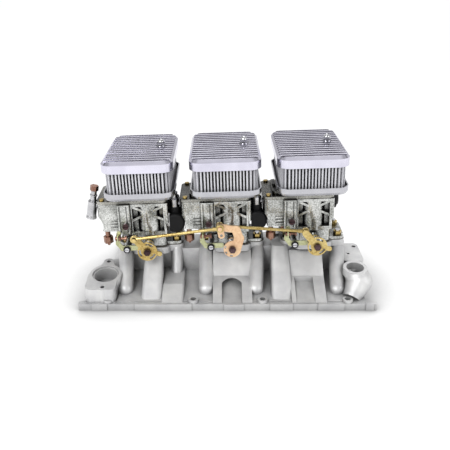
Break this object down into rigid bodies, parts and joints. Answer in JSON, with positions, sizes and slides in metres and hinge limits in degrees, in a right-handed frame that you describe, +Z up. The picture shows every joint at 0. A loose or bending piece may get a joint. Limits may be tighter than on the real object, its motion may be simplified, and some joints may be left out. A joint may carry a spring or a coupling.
{
  "type": "triple carburetor intake assembly",
  "caption": "Row of three twin-barrel downdraught carburetors on a cast V-engine intake manifold, with box filters and a shared throttle linkage.",
  "frame": {"origin": "centre of the manifold flange's length and width, on its lower face", "axes": "+X along the engine towards the distributor end, -Y towards the linkage side, +Z up"},
  "size_m": [0.511, 0.274, 0.2724],
  "materials": {
    "cast_aluminium": "satin",
    "die_cast_body": "satin",
    "die_cast_cover": "satin",
    "polished_lid": "polished",
    "polished_tray": "polished",
    "pleated_gauze": "matte",
    "gold_zinc": "satin",
    "pink_gold_zinc": "satin",
    "green_zinc": "satin",
    "brass": "satin",
    "copper_brass": "satin",
    "bright_steel": "polished",
    "dark_steel": "satin",
    "turned_aluminium": "polished",
    "black_rubber": "matte",
    "black_plastic": "matte",
    "float_plastic": "matte",
    "gasket_paper": "matte"
  },
  "bodies": {
    "manifold_assembly": {"manifold": "cast_aluminium", "bracket_screws": "bright_steel", "bracket_rings": "black_rubber", "base_gaskets": "gasket_paper", "carb_studs": "bright_steel", "stud_nuts": "brass", "cover_gaskets": "gasket_paper", "cover_screws": "brass", "idle_jet_holders": "dark_steel", "bowl_plugs": "copper_brass", "idle_brackets": "green_zinc", "idle_screws": "copper_brass", "booster_venturis": "die_cast_cover", "choke_caps": "black_plastic", "filter_seals": "black_rubber", "lid_studs": "bright_steel", "lid_nuts": "bright_steel", "fuel_inlets": "turned_aluminium", "inlet_plug": "copper_brass", "inlet_boots": "black_rubber", "body_left": "die_cast_body", "cover_left": "die_cast_cover", "filter_base_left": "polished_tray", "filter_element_left": "pleated_gauze", "filter_lid_left": "polished_lid", "body_middle": "die_cast_body", "cover_middle": "die_cast_cover", "filter_base_middle": "polished_tray", "filter_element_middle": "pleated_gauze", "filter_lid_middle": "polished_lid", "body_right": "die_cast_body", "cover_right": "die_cast_cover", "filter_base_right": "polished_tray", "filter_element_right": "pleated_gauze", "filter_lid_right": "polished_lid"},
    "throttle_left": {"throttle_shaft_left": "dark_steel", "throttle_lever_left": "gold_zinc", "shaft_nut_left": "dark_steel"},
    "choke_left": {"choke_valve_left": "brass"},
    "float_body_left": {"float_left": "float_plastic"},
    "throttle_middle": {"throttle_shaft_middle": "dark_steel", "throttle_lever_middle": "pink_gold_zinc", "shaft_nut_middle": "dark_steel"},
    "choke_middle": {"choke_valve_middle": "brass"},
    "float_body_middle": {"float_middle": "float_plastic"},
    "throttle_right": {"throttle_shaft_right": "dark_steel", "throttle_lever_right": "gold_zinc", "shaft_nut_right": "dark_steel"},
    "choke_right": {"choke_valve_right": "brass"},
    "float_body_right": {"float_right": "float_plastic"},
    "link_left": {"link_rod_left": "gold_zinc"},
    "link_right": {"link_rod_right": "gold_zinc"}
  },
  "joints": [
    {"name": "throttle_turn_left", "type": "hinge", "parent": "manifold_assembly", "child": "throttle_left", "pos_m": [-0.13841, -0.06, 0.0905], "axis": [0, 1, 0], "range_deg": [0, 78]},
    {"name": "choke_turn_left", "type": "hinge", "parent": "manifold_assembly", "child": "choke_left", "pos_m": [-0.1411, 0, 0.16895], "axis": [0, 1, 0], "range_deg": [0, 85]},
    {"name": "float_swing_left", "type": "hinge", "parent": "manifold_assembly", "child": "float_body_left", "pos_m": [-0.18049, 0, 0.15059], "axis": [0, 1, 0], "range_deg": [-8, 0]},
    {"name": "throttle_turn_middle", "type": "hinge", "parent": "manifold_assembly", "child": "throttle_middle", "pos_m": [0.0075, -0.06, 0.09549], "axis": [0, 1, 0], "range_deg": [0, 52]},
    {"name": "choke_turn_middle", "type": "hinge", "parent": "manifold_assembly", "child": "choke_middle", "pos_m": [0.00482, 0, 0.17395], "axis": [0, 1, 0], "range_deg": [0, 85]},
    {"name": "float_swing_middle", "type": "hinge", "parent": "manifold_assembly", "child": "float_body_middle", "pos_m": [-0.03458, 0, 0.15559], "axis": [0, 1, 0], "range_deg": [-8, 0]},
    {"name": "throttle_turn_right", "type": "hinge", "parent": "manifold_assembly", "child": "throttle_right", "pos_m": [0.15342, -0.06, 0.10049], "axis": [0, 1, 0], "range_deg": [0, 78]},
    {"name": "choke_turn_right", "type": "hinge", "parent": "manifold_assembly", "child": "choke_right", "pos_m": [0.15073, 0, 0.17894], "axis": [0, 1, 0], "range_deg": [0, 85]},
    {"name": "float_swing_right", "type": "hinge", "parent": "manifold_assembly", "child": "float_body_right", "pos_m": [0.11134, 0, 0.16058], "axis": [0, 1, 0], "range_deg": [-8, 0]},
    {"name": "link_swing_left", "type": "hinge", "parent": "throttle_middle", "child": "link_left", "pos_m": [-0.01406, -0.0963, 0.13612], "axis": [0, 1, 0], "range_deg": [-52, 0]},
    {"name": "link_swing_right", "type": "hinge", "parent": "throttle_middle", "child": "link_right", "pos_m": [-0.01406, -0.0847, 0.13612], "axis": [0, 1, 0], "range_deg": [-52, 0]}
  ],
  "couplings": [
    {"joint": "throttle_turn_left", "follows": "throttle_turn_middle", "ratio": 1.5},
    {"joint": "link_swing_left", "follows": "throttle_turn_middle", "ratio": -1},
    {"joint": "throttle_turn_right", "follows": "throttle_turn_middle", "ratio": 1.5},
    {"joint": "link_swing_right", "follows": "throttle_turn_middle", "ratio": -1}
  ]
}
